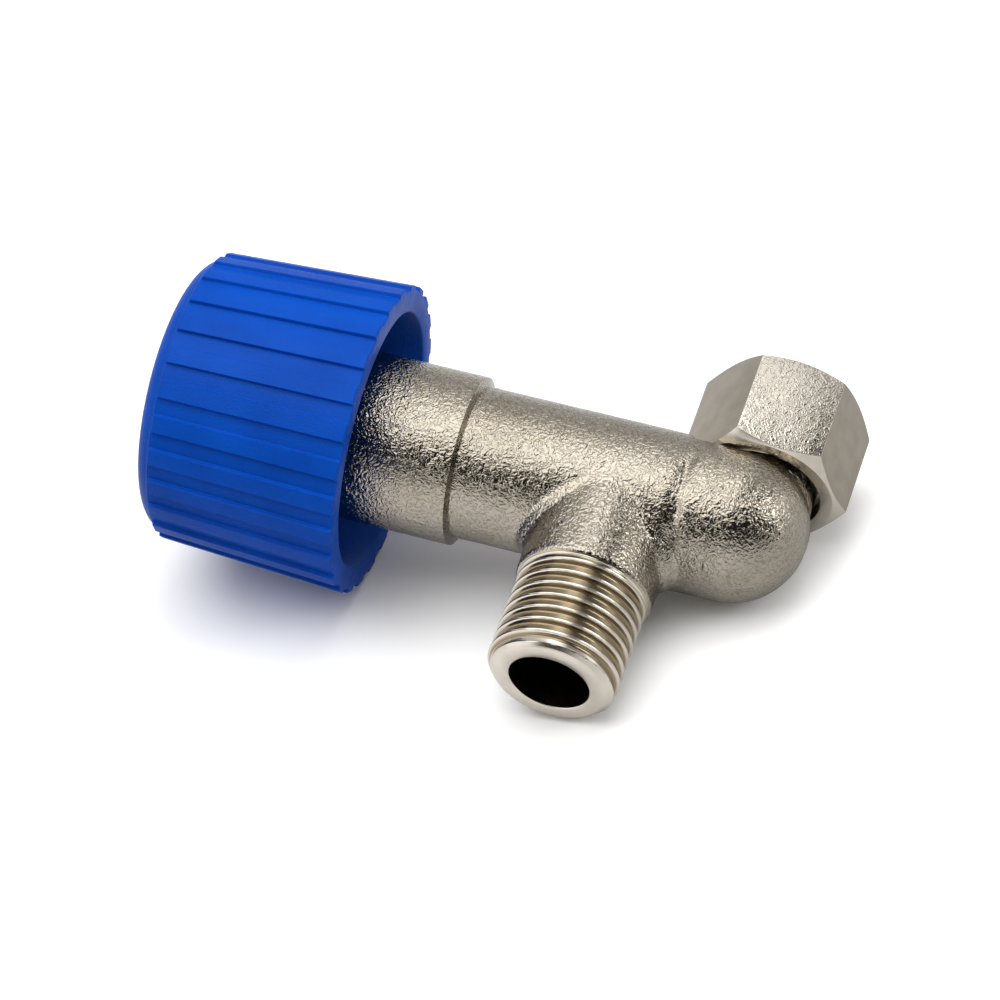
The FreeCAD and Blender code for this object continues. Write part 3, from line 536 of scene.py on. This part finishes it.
def blank_mesh():
    """The forging before any machining: the frame's body with its bores filled."""
    blank = bmesh.new()
    blank.from_mesh(NODES["valve_body"].data)
    bmesh.ops.remove_doubles(blank, verts=blank.verts, dist=1e-6)
    inside = 0.6 * MM
    elbow = [(BARREL_END + BARREL_RADIUS * math.sin(turn), BARREL_RADIUS * math.cos(turn))
             for turn in np.linspace(0.0, math.pi / 2, 24)]
    drilled = REACH - INLET_DRILL - inside
    fillings = [
        plug(BODY_END - SPARE, BODY_END + SPARE, BOSS_RADIUS, "X", BARREL_AXIS),
        plug(BODY_END + SPARE, STEP + SPARE, BOSS_RADIUS, "X", BARREL_AXIS),
        turned("plug", [(0.0, 0.0), (0.0, BARREL_RADIUS)] + elbow, "X", BARREL_AXIS),
        plug(BODY_END + inside, SEAT_REACH + inside, BONNET_BORE + inside, "X", BARREL_AXIS),
        plug(inside, REACH, OUTLET_BORE + inside, "Y", OUTLET_AXIS),
        plug(drilled, SPIGOT_END - inside, INLET_BORE + inside, "Y", INLET_AXIS),
        plug(REACH, SPIGOT_END + SPARE, INLET_BOSS, "Y", INLET_AXIS),
        plug(SEAT_REACH, INLET + SEAT_BORE + inside, SEAT_BORE + inside, "X", BARREL_AXIS),
    ]
    for filling in fillings:
        blank.from_mesh(filling)
    mesh = bpy.data.meshes.new("forged_body")
    blank.to_mesh(mesh)
    blank.free()
    return mesh


def machining():
    """What the lathe and the drills take away: the headwork's bores, the outlet's end and the inlet's."""
    run_out = OUTLET_THREADED + 0.3 * MM
    headwork = turned("headwork_bores", [
        (BODY_END - BEYOND, 0.0),
        (BODY_END - BEYOND, BOSS_RADIUS + BEYOND),
        (BODY_END, BOSS_RADIUS + BEYOND),
        (BODY_END, BOSS_RADIUS - BOSS_CHAMFER),
        (BODY_END, BONNET_BORE),
        (BODY_END + BONNET_BORE_DEPTH, BONNET_BORE),
        (BODY_END + BONNET_BORE_DEPTH, CHAMBER_RADIUS),
        (DISC_POCKET, CHAMBER_RADIUS),
        (DISC_POCKET, DISC_POCKET_RADIUS),
        (SEAT_REACH + SEAT_HEIGHT, DISC_POCKET_RADIUS),
        (SEAT_REACH + SEAT_HEIGHT, SEAT_BORE + SEAT_WALL),
        (SEAT_REACH, SEAT_BORE + SEAT_WALL),
        (SEAT_REACH, SEAT_BORE),
        (INLET + SEAT_BORE, SEAT_BORE),
        (INLET + SEAT_BORE, 0.0),
    ], "X", BARREL_AXIS)
    outlet_end = turned("outlet_end", [
        (-BEYOND, 0.0),
        (-BEYOND, OUTLET_RADIUS + BEYOND),
        (run_out, OUTLET_RADIUS + BEYOND),
        (run_out, OUTLET_BORE),
        (OUTLET_BORE_DEPTH, OUTLET_BORE),
        (OUTLET_BORE_DEPTH + OUTLET_BORE - OUTLET_PORT, OUTLET_PORT),
        (REACH - CHAMBER_RADIUS / 2, OUTLET_PORT),
        (REACH - CHAMBER_RADIUS / 2, 0.0),
    ], "Y", OUTLET_AXIS)
    inlet_face = turned("inlet_face", [
        (SPIGOT_END + BEYOND, 0.0),
        (SPIGOT_END + BEYOND, SPOT_RADIUS),
        (SPOT_FACE, SPOT_RADIUS),
        (SPOT_FACE, INLET_ROOT),
        (INLET_SHOULDER, INLET_ROOT),
        (INLET_SHOULDER, SPIGOT_RADIUS),
        (WIRE_GROOVE[0], SPIGOT_RADIUS),
        (WIRE_GROOVE[0], WIRE_GROOVE[2]),
        (WIRE_GROOVE[1], WIRE_GROOVE[2]),
        (WIRE_GROOVE[1], SPIGOT_RADIUS),
        (SPIGOT_END, SPIGOT_RADIUS),
        (SPIGOT_END, INLET_BORE),
        (REACH - INLET_DRILL, INLET_BORE),
        (REACH - INLET_DRILL, 0.0),
    ], "Y", INLET_AXIS)
    return headwork, outlet_end, inlet_face


def forged_body(forged, machined, shaded_bore):
    """The forging, given its blasted skin and then machined. The waterway's inner faces are painted nearly
    black as shade.
    """
    made = mesh_object("forged_body", blank_mesh())
    skin = made.modifiers.new("skin", "REMESH")
    skin.mode = "VOXEL"
    skin.voxel_size = SKIN_MESH
    soft = made.modifiers.new("soft", "SMOOTH")
    soft.iterations = 4
    apply(made)
    crinkled(made.data, SKIN_PILLOW, SKIN_HEIGHT)
    made.data.materials.clear()
    for material in (forged, machined, shaded_bore):
        made.data.materials.append(material)

    headwork, outlet_end, inlet_face = machining()
    for cutter in (headwork, outlet_end, inlet_face):
        cutter.materials.append(machined)
        cutter.materials.append(shaded_bore)
    # The waterway's inner faces take slot 1, the nearly black painted shade.
    paint(headwork, (1, lambda centre, normal: centre.x > BODY_END + BONNET_BORE_DEPTH))
    paint(inlet_face, (1, lambda centre, normal: math.hypot(centre.x - INLET, centre.z) < INLET_BORE + HAIR))
    sunk = 0.03 * MM
    proud = 0.1 * MM
    slope_end = STEP + SPARE + 1.5 * MM
    step = turned("step", [
        (STEP, BOSS_RADIUS + BEYOND),
        (STEP, BOSS_RADIUS),
        (STEP + STEP_LENGTH, BARREL_RADIUS - sunk),
        (slope_end, BARREL_RADIUS + proud),
        (slope_end, BOSS_RADIUS + BEYOND),
    ], "X", BARREL_AXIS, steps=256)
    step.materials.append(forged)
    cut(made, step, headwork, outlet_end, inlet_face)
    rounded_shading(made.data, 40)
    return made


# The outlet's thread, with the coarse pitch that the photograph shows. Each pair is a place across one
# turn, from crest to crest, and how deep the thread is there: rounded crest edges with a slight hollow
# between them, steep flanks and a broad root
THREAD_PITCH = 2.33 * MM
THREAD_FORM = [(0.0, 0.04), (0.035, 0.02), (0.06, 0.0), (0.085, 0.02), (0.11, 0.12), (0.16, 0.5), (0.2, 0.72),
               (0.25, 0.83), (0.35, 0.86), (0.65, 0.86), (0.75, 0.83), (0.8, 0.72), (0.84, 0.5), (0.89, 0.12),
               (0.915, 0.02), (0.94, 0.0), (0.965, 0.02), (1.0, 0.04)]
THREAD_START = 0.25 * MM
THREAD_RUN_OUT = 0.5 * MM
THREAD_ROW = 0.06 * MM


def thread_depth(along, angle, pitch, start):
    """The depth of a right-handed thread at a place along its axis and an angle about it."""
    phase = np.mod((along - start) / pitch - angle / (2 * math.pi), 1.0)
    across, depth = (np.array(column) for column in zip(*THREAD_FORM))
    return np.interp(phase, across, depth) * MM * pitch / THREAD_PITCH


def outlet_thread(*materials):
    """The outlet's threaded end with its turned nose, flat face and bore."""
    def ripple(along, radius, angle):
        fade = np.clip((OUTLET_THREADED - along) / THREAD_RUN_OUT, 0.0, 1.0)
        deep = fade * thread_depth(along, angle, THREAD_PITCH, THREAD_START)
        outside = radius > (OUTLET_BORE + OUTLET_RADIUS) / 2
        return np.where(outside, np.minimum(radius, OUTLET_RADIUS - deep), radius + 0 * angle)

    edge = 0.25 * MM
    nose_radius = OUTLET_RADIUS - OUTLET_NOSE
    rows = [(OUTLET_BORE_DEPTH - edge, OUTLET_BORE), (edge, OUTLET_BORE), (edge / 2, OUTLET_BORE),
            (0.0, OUTLET_BORE + edge / 2), (0.0, nose_radius - edge)]
    rows += [(edge * (1 - math.cos(turn)), nose_radius - edge + edge * math.sin(turn))
             for turn in (math.pi / 8, math.pi / 4)]
    for along in np.arange(edge, OUTLET_THREADED + edge, THREAD_ROW):
        rows.append((along, min(nose_radius + along, OUTLET_RADIUS)))
    rows.append((OUTLET_THREADED + 4 * edge, OUTLET_RADIUS))
    mesh = turned("outlet_thread", rows, "Y", OUTLET_AXIS, steps=320, ripple=ripple)
    rounded_shading(mesh, 50)
    # The bore takes slot 2, the nearly black painted shade.
    bore_wall = OUTLET_BORE + 0.02 * MM
    paint(mesh, (2, lambda centre, normal: math.hypot(centre.x, centre.z) < bore_wall),
          (1, lambda centre, normal: centre.y < OUTLET_NOSE + HAIR))
    return mesh_object("outlet_thread", mesh, *materials)


# The knob

def skirt(radius, along):
    """A skirt surface's radius at a place: it narrows from the rim to the closed end."""
    return radius + (along - KNOB_RIM) * KNOB_DRAFT


def joined(made, mesh):
    """Weld another closed mesh to the object."""
    tool = bpy.data.objects.new("tool", mesh)
    bpy.context.collection.objects.link(tool)
    modifier = made.modifiers.new("join", "BOOLEAN")
    modifier.operation = "UNION"
    modifier.solver = "MANIFOLD"
    modifier.object = tool
    apply(made)
    bpy.data.objects.remove(tool)


def knob_moulding(material):
    """The knob in one moulding: drafted skirt with raised bars, round shoulder, cup, hub and webs."""
    soft = 0.1 * MM
    pitch = 2 * math.pi / BAR_COUNT
    half = BAR_SHARE * pitch / 2
    ease = soft / KNOB_RADIUS
    columns = [(-pitch / 2, 0.0), (-half - 2.2 * ease, 0.0), (-half - 1.4 * ease, 0.0),
               (-half - 0.5 * ease, 0.1), (-half, 0.45), (-half + 0.3 * ease, 0.85), (-half + ease, 1.0),
               (-half + 2 * ease, 1.0), (0.0, 1.0)]
    columns += [(-angle, level) for angle, level in reversed(columns[1:-1])]
    angles = np.array([bar * pitch + angle + KNOB_TURNED for bar in range(BAR_COUNT) for angle, _ in columns])
    levels = np.array([level for bar in range(BAR_COUNT) for _, level in columns])

    shoulder = KNOB_END + KNOB_SHOULDER
    lip = 0.3 * MM
    outer = [(KNOB_RIM, KNOB_RADIUS - lip, 0.8), (KNOB_RIM - 0.1 * lip, KNOB_RADIUS - 0.4 * lip, 0.9),
             (KNOB_RIM - 0.4 * lip, KNOB_RADIUS - 0.1 * lip, 0.97), (KNOB_RIM - lip, KNOB_RADIUS, 1.0)]
    first_row = KNOB_RIM - 4 * MM
    for along in np.linspace(first_row, BAR_END + 2 * soft, 8):
        outer.append((along, skirt(KNOB_RADIUS, along), 1.0))
    end_radius = skirt(KNOB_RADIUS, BAR_END)
    outer += [(BAR_END + soft, end_radius, 0.95), (BAR_END, end_radius, 0.5),
              (BAR_END - soft, end_radius, 0.06), (BAR_END - 2 * soft, end_radius, 0.0)]
    centre = skirt(KNOB_RADIUS, shoulder) - KNOB_SHOULDER
    for turn in np.linspace(0.0, math.pi / 2, 16):
        place = shoulder - KNOB_SHOULDER * math.sin(turn)
        if place < BAR_END - 3 * soft:
            outer.append((place, centre + KNOB_SHOULDER * math.cos(turn), 0.0))
    inner = [
        (KNOB_END, CAP_RADIUS),
        (CAP_SEAT, CAP_RADIUS),
        (CAP_SEAT, WELL_RADIUS),
        (WELL_FLOOR, WELL_RADIUS),
        (WELL_FLOOR, SCREW_CLEARANCE),
        (BUSH_FLOOR, SCREW_CLEARANCE),
        (BUSH_FLOOR, BUSH_RADIUS),
        (HUB_MOUTH, BUSH_RADIUS),
        (HUB_MOUTH, HUB_RADIUS),
        (CUP_FLOOR, HUB_RADIUS),
        (CUP_FLOOR, skirt(KNOB_RADIUS - KNOB_WALL, CUP_FLOOR)),
        (KNOB_RIM - lip, skirt(KNOB_RADIUS - KNOB_WALL, KNOB_RIM)),
        (KNOB_RIM, skirt(KNOB_RADIUS - KNOB_WALL, KNOB_RIM) + lip),
    ]
    rows = [(along, radius, level) for along, radius, level in outer] + [(*row, 0.0) for row in inner]
    along, radius, level = (np.array(column)[:, None] for column in zip(*rows))
    radius = radius + BAR_HEIGHT * level * levels[None, :]
    points = np.stack([along + 0 * angles, REACH + radius * np.cos(angles), radius * np.sin(angles)], axis=-1)
    made = mesh_object("knob_moulding", loop_mesh("knob_moulding", points), material)

    web_reach = skirt(KNOB_RADIUS - KNOB_WALL / 2, CUP_FLOOR)
    web_root = 1 * MM
    web_overlap = 0.2 * MM
    for index in range(WEB_COUNT):
        spoke = Matrix.Rotation(KNOB_TURNED + index * 2 * math.pi / WEB_COUNT, 4, "X")
        middle_radius = (HUB_RADIUS + web_reach) / 2 - web_overlap / 2
        size = (WEB_HEIGHT + web_root, web_reach - HUB_RADIUS + web_overlap, WEB_THICKNESS)
        place = Vector((CUP_FLOOR + (WEB_HEIGHT - web_root) / 2, middle_radius, 0.0))
        work = bmesh.new()
        bmesh.ops.create_cube(work, size=1.0)
        bmesh.ops.scale(work, vec=size, verts=work.verts)
        bmesh.ops.translate(work, vec=place, verts=work.verts)
        bmesh.ops.transform(work, matrix=Matrix.Translation((0.0, REACH, 0.0)) @ spoke, verts=work.verts)
        web = bpy.data.meshes.new("web")
        work.to_mesh(web)
        work.free()
        joined(made, web)
    rounded_shading(made.data, 50)
    return made


# The nut

def swivel_nut(*materials):
    """The swivel nut: the frame's own form with its edges eased and a real thread cut in its mouth."""
    work = bmesh.new()
    work.from_mesh(NODES["swivel_nut"].data)
    bmesh.ops.remove_doubles(work, verts=work.verts, dist=1e-6)
    bmesh.ops.dissolve_limit(work, angle_limit=math.radians(1.0), verts=work.verts, edges=work.edges)
    mesh = bpy.data.meshes.new("swivel_nut_piece")
    work.to_mesh(mesh)
    work.free()
    made = mesh_object("swivel_nut_piece", mesh, *materials)
    ease = made.modifiers.new("ease", "BEVEL")
    ease.width = NUT_EDGE
    ease.segments = 3
    ease.limit_method = "ANGLE"
    ease.angle_limit = math.radians(25)
    ease.use_clamp_overlap = True
    apply(made)

    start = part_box("inlet_washer")[1].y
    groove = max(depth for _, depth in THREAD_FORM) * MM * NUT_PITCH / THREAD_PITCH
    under_wall = NUT_THREAD - 0.02 * MM

    def ripple(along, radius, angle):
        fade = np.clip((along - start) / (0.5 * NUT_PITCH), 0.0, 1.0)
        deep = fade * (groove - thread_depth(along, angle, NUT_PITCH, start))
        return np.where(radius > 0.0, under_wall + deep, 0.0)

    rows = [(start, 0.0)] + [(along, NUT_THREAD) for along in np.arange(start, NUT_END + MM, THREAD_ROW)]
    rows.append((rows[-1][0], 0.0))
    thread = turned("nut_thread", rows, "Y", INLET_AXIS, steps=240, ripple=ripple)
    thread.materials.append(materials[1])
    cut(made, thread)
    rounded_shading(made.data, 40)
    facing = 0.98
    flats = [Vector((math.sin(turn), 0.0, math.cos(turn)))
             for turn in (NUT_TURNED, NUT_TURNED + math.pi / 3, NUT_TURNED - math.pi / 3)]
    # Slot 2, the pair of flats across flats[0], gets the lighter colour that is a painted highlight.
    paint(made.data, (1, lambda centre, normal: math.hypot(centre.x - INLET, centre.z) < NUT_BORED or
                      max(abs(normal.dot(flat)) for flat in flats) < facing),
          (2, lambda centre, normal: abs(normal.dot(flats[0])) > facing), (0, lambda centre, normal: True))
    return made


# The stage

# How pale the table is where it is seen, so that it comes out as white as the photograph's, and how pale
# at the left and at the right of the valve in reflections
TABLE_WHITE = 1.08
TABLE_REFLECTED = (0.84, 0.54)
TABLE_LEFT = -25 * MM
TABLE_RIGHT = 45 * MM
TABLE_RADIUS = 0.7
# How bright the studio's sides are in reflections, and the fill on dull surfaces from its darkest side to
# its brightest, where white is 1
ROOM = (0.04, 0.01)
WALL_BEHIND = 0.6
WALL_LEFT = 1.3
WALL_LOW = 1.1
GROUND = 0.9
FILL = (0.1, 0.9)
LAMP_DISTANCE = 0.7


def table():
    """The pale table that the valve lies on: one-sided, so that it hides nothing from below."""
    lowest = min(vertex.co.dot(TABLE_UP) for node in NODES.values() for vertex in node.data.vertices)
    across = TABLE_UP.cross(IMAGE_RIGHT).normalized()
    under = middle("valve_body")
    under += TABLE_UP * (lowest - under.dot(TABLE_UP))
    mesh = bpy.data.meshes.new("table")
    work = bmesh.new()
    bmesh.ops.create_circle(work, cap_ends=True, radius=TABLE_RADIUS, segments=96)
    work.to_mesh(mesh)
    work.free()
    made = mesh_object("table", mesh)
    made.matrix_world = axes_matrix(across.cross(TABLE_UP), across, TABLE_UP, under)
    material = bpy.data.materials.new("white_laminate")
    material.use_nodes = True
    tree = material.node_tree
    tree.nodes.clear()
    rays = add(tree, "ShaderNodeLightPath")
    seen = add(tree, "ShaderNodeMath", {0: rays.outputs["Is Camera Ray"],
                                        1: rays.outputs["Is Transmission Ray"]}, operation="MAXIMUM")
    place = add(tree, "ShaderNodeSeparateXYZ", {0: here(tree)})
    # In reflections the table is painted from pale at the valve's left to darker at its right: painted shade.
    painted_shade_fall = add(tree, "ShaderNodeMapRange", {"Value": place.outputs["X"], "From Min": TABLE_LEFT,
                                            "From Max": TABLE_RIGHT, "To Min": TABLE_REFLECTED[0],
                                            "To Max": TABLE_REFLECTED[1]})
    matt, mirrored, lit = (add(tree, "ShaderNodeBsdfDiffuse", {"Color": colour}) for colour in (
        linear("#CFCFCF"), painted_shade_fall.outputs[0], [TABLE_WHITE] * 3 + [1.0]))
    front = add(tree, "ShaderNodeMixShader", {0: rays.outputs["Is Glossy Ray"], 1: matt.outputs[0],
                                              2: mirrored.outputs[0]})
    front = add(tree, "ShaderNodeMixShader", {0: seen.outputs[0], 1: front.outputs[0], 2: lit.outputs[0]})
    back = add(tree, "ShaderNodeBsdfTransparent")
    side = add(tree, "ShaderNodeNewGeometry")
    both = add(tree, "ShaderNodeMixShader", {0: side.outputs["Backfacing"], 1: front.outputs[0],
                                             2: back.outputs[0]})
    add(tree, "ShaderNodeOutputMaterial", {"Surface": both.outputs[0]})
    made.data.materials.append(material)


def softbox(name, toward, width, height, watts):
    """A lamp that looks at the valve from a direction, its width along the image's right."""
    data = bpy.data.lights.new(name, "AREA")
    data.shape = "RECTANGLE"
    data.size = width
    data.size_y = height
    data.energy = watts
    made = bpy.data.objects.new(name, data)
    toward = toward.normalized()
    across = (IMAGE_RIGHT - toward * IMAGE_RIGHT.dot(toward)).normalized()
    made.matrix_world = axes_matrix(across, toward.cross(across), toward,
                                    middle("valve_body") + toward * LAMP_DISTANCE)
    bpy.context.collection.objects.link(made)


def studio():
    """White for what is seen directly. In reflections a dark room where the camera stands, a grey wall
    behind the valve, a bright one to its left, and a white table below that reaches round to the front.
    For dull surfaces a fill that comes from above and a little from the right."""
    world = bpy.data.worlds.new("studio")
    bpy.context.scene.world = world
    world.use_nodes = True
    tree = world.node_tree
    tree.nodes.clear()
    way = add(tree, "ShaderNodeTexCoord").outputs["Generated"]
    toward, up, right, height, lit = (
        add(tree, "ShaderNodeVectorMath", {0: way, 1: axis}, operation="DOT_PRODUCT")
        for axis in (TO_CAMERA, IMAGE_UP, IMAGE_RIGHT, TABLE_UP, direction(*(TABLE_UP + 0.2 * IMAGE_RIGHT))))
    lean = add(tree, "ShaderNodeMath", {0: up.outputs["Value"], 1: -0.35, 2: toward.outputs["Value"]},
               operation="MULTIPLY_ADD")
    front = add(tree, "ShaderNodeMapRange", {"Value": lean.outputs[0], "From Min": -0.05, "From Max": 0.12})
    low = add(tree, "ShaderNodeMapRange", {"Value": up.outputs["Value"], "From Min": -0.4,
                                           "From Max": -0.6})
    core = add(tree, "ShaderNodeMapRange", {"Value": toward.outputs["Value"], "From Min": 0.85,
                                            "From Max": 0.95, "To Min": ROOM[0], "To Max": ROOM[1]})
    room = add(tree, "ShaderNodeMix", {0: front.outputs[0], 2: WALL_BEHIND, 3: core.outputs[0]})
    left = add(tree, "ShaderNodeMapRange", {"Value": right.outputs["Value"], "From Min": -0.6,
                                            "From Max": -0.8})
    room = add(tree, "ShaderNodeMix", {0: left.outputs[0], 2: room.outputs[0], 3: WALL_LEFT})
    room = add(tree, "ShaderNodeMix", {0: low.outputs[0], 2: room.outputs[0], 3: WALL_LOW})
    below = add(tree, "ShaderNodeMapRange", {"Value": height.outputs["Value"], "From Min": 0.0,
                                             "From Max": -0.1})
    level = add(tree, "ShaderNodeMix", {0: below.outputs[0], 2: room.outputs[0], 3: GROUND})
    rays = add(tree, "ShaderNodeLightPath")
    mirrored = add(tree, "ShaderNodeMath", {0: rays.outputs["Is Glossy Ray"],
                                            1: rays.outputs["Is Transmission Ray"]}, operation="MAXIMUM")
    soft = add(tree, "ShaderNodeMapRange", {"Value": lit.outputs["Value"], "To Min": FILL[0],
                                            "To Max": FILL[1]})
    fill = add(tree, "ShaderNodeBackground", {"Color": linear("#FFFFFF"), "Strength": soft.outputs[0]})
    reflected = add(tree, "ShaderNodeBackground", {"Color": linear("#FFFFFF"), "Strength": level.outputs[0]})
    white = add(tree, "ShaderNodeBackground", {"Color": linear("#FFFFFF"), "Strength": 1.0})
    mixed = add(tree, "ShaderNodeMixShader", {0: mirrored.outputs[0], 1: fill.outputs[0],
                                              2: reflected.outputs[0]})
    mixed = add(tree, "ShaderNodeMixShader", {0: rays.outputs["Is Camera Ray"], 1: mixed.outputs[0],
                                              2: white.outputs[0]})
    add(tree, "ShaderNodeOutputWorld", {"Surface": mixed.outputs[0]})


camera()
studio()
table()
softbox("key", -0.34 * IMAGE_RIGHT + 0.64 * IMAGE_UP + 0.69 * TO_CAMERA, 0.85, 0.7, 4.1)
softbox("overhead", 0.16 * IMAGE_RIGHT + 0.92 * IMAGE_UP + 0.34 * TO_CAMERA, 0.32, 0.55, 0.55)
softbox("side", 0.93 * IMAGE_RIGHT + 0.3 * IMAGE_UP + 0.05 * TO_CAMERA, 0.3, 0.6, 0.45)
softbox("front", 0.76 * IMAGE_RIGHT + 0.36 * IMAGE_UP + 0.54 * TO_CAMERA, 0.35, 0.25, 1.0)

FORGED = forged_nickel()
TURNED = turned_nickel()
THREAD = thread_nickel()
MILLED = milled_nickel()
PRESSED_PAINTED_HIGHLIGHT = pressed_nickel_painted_highlight()
PLASTIC = moulded_plastic()
WATERWAY_PAINTED_SHADE = bore_painted_shade()
BRASS = turned_brass()
RUBBER = moulded_rubber()
FIBRE = pressed_fibre()
ZINC = plated_steel("zinc_plated_steel", "#D4D6D8", "#B9BCC0", 0.3)
SPRING = plated_steel("oiled_spring_steel", "#8C8C8E", "#5E5E61", 0.35)

body = forged_body(FORGED, TURNED, WATERWAY_PAINTED_SHADE)
outlet = outlet_thread(THREAD, TURNED, WATERWAY_PAINTED_SHADE)
knob = knob_moulding(PLASTIC)
nut = swivel_nut(MILLED, TURNED, PRESSED_PAINTED_HIGHLIGHT)
for piece, rider, node, slot in (
    (body, "valve", "valve_body", "nickel_brass"),
    (outlet, "valve", "valve_body", "nickel_brass"),
    (knob, "knob", "knob", "blue_plastic"),
    (nut, "nut", "swivel_nut", "nickel_brass"),
):
    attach(piece, rider)
    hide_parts(node)

FINISHES = {
    "bonnet": BRASS, "bonnet_seal": FIBRE, "nut_retaining_ring": SPRING, "jumper": BRASS,
    "jumper_snap_ring": SPRING, "seat_washer": RUBBER, "washer_nut": BRASS, "spindle": BRASS,
    "stem_o_ring_outer": RUBBER, "stem_o_ring_inner": RUBBER, "spindle_circlip": SPRING,
    "knob_insert": BRASS, "knob_screw": ZINC, "knob_screw_washer": ZINC, "knob_cap": PLASTIC,
    "inlet_washer": FIBRE,
}
for node, material in FINISHES.items():
    NODES[node].material_slots[0].material = material

bpy.context.scene.view_settings.view_transform = "Standard"
